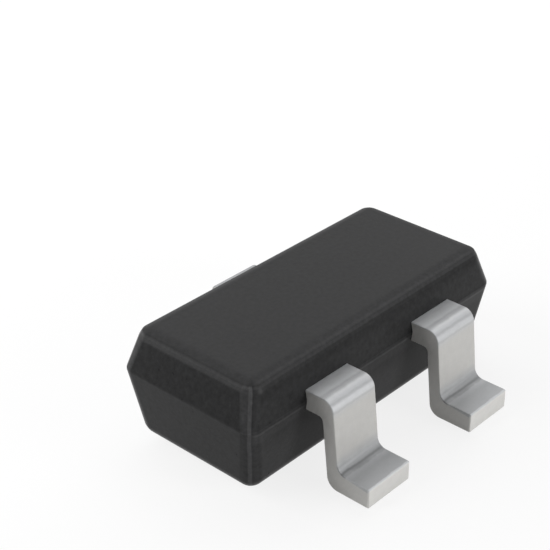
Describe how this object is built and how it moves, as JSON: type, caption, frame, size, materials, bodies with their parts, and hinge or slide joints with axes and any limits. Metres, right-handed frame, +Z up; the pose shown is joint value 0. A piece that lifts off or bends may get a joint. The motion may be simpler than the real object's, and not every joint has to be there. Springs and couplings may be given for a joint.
{
  "type": "magnetic sensor ic",
  "caption": "Surface-mount Hall sensor: a black moulded epoxy body with sloped sides, signal leads on one long side and a ground lead on the other, formed into gull wings.",
  "frame": {"origin": "under the middle of the body, in the seating plane that the soles of the feet lie in", "axes": "+X along the body, +Y towards the ground lead, +Z up from the board to the top face"},
  "size_m": [0.0028, 0.0026, 0.001],
  "materials": {
    "mould_epoxy": "fine matt mould texture",
    "tinned_lead": "matt tin plating on copper alloy",
    "chip_glue": "cured silver-filled paste",
    "silicon": "sawn and passivated silicon",
    "wire_metal": "drawn gold wire"
  },
  "bodies": {
    "root": {"moulded_body": "mould_epoxy", "supply_lead": "tinned_lead", "output_lead": "tinned_lead", "ground_lead": "tinned_lead", "chip_adhesive": "chip_glue", "sensor_chip": "silicon", "supply_wire": "wire_metal", "output_wire": "wire_metal", "ground_wire": "wire_metal"}
  },
  "joints": []
}
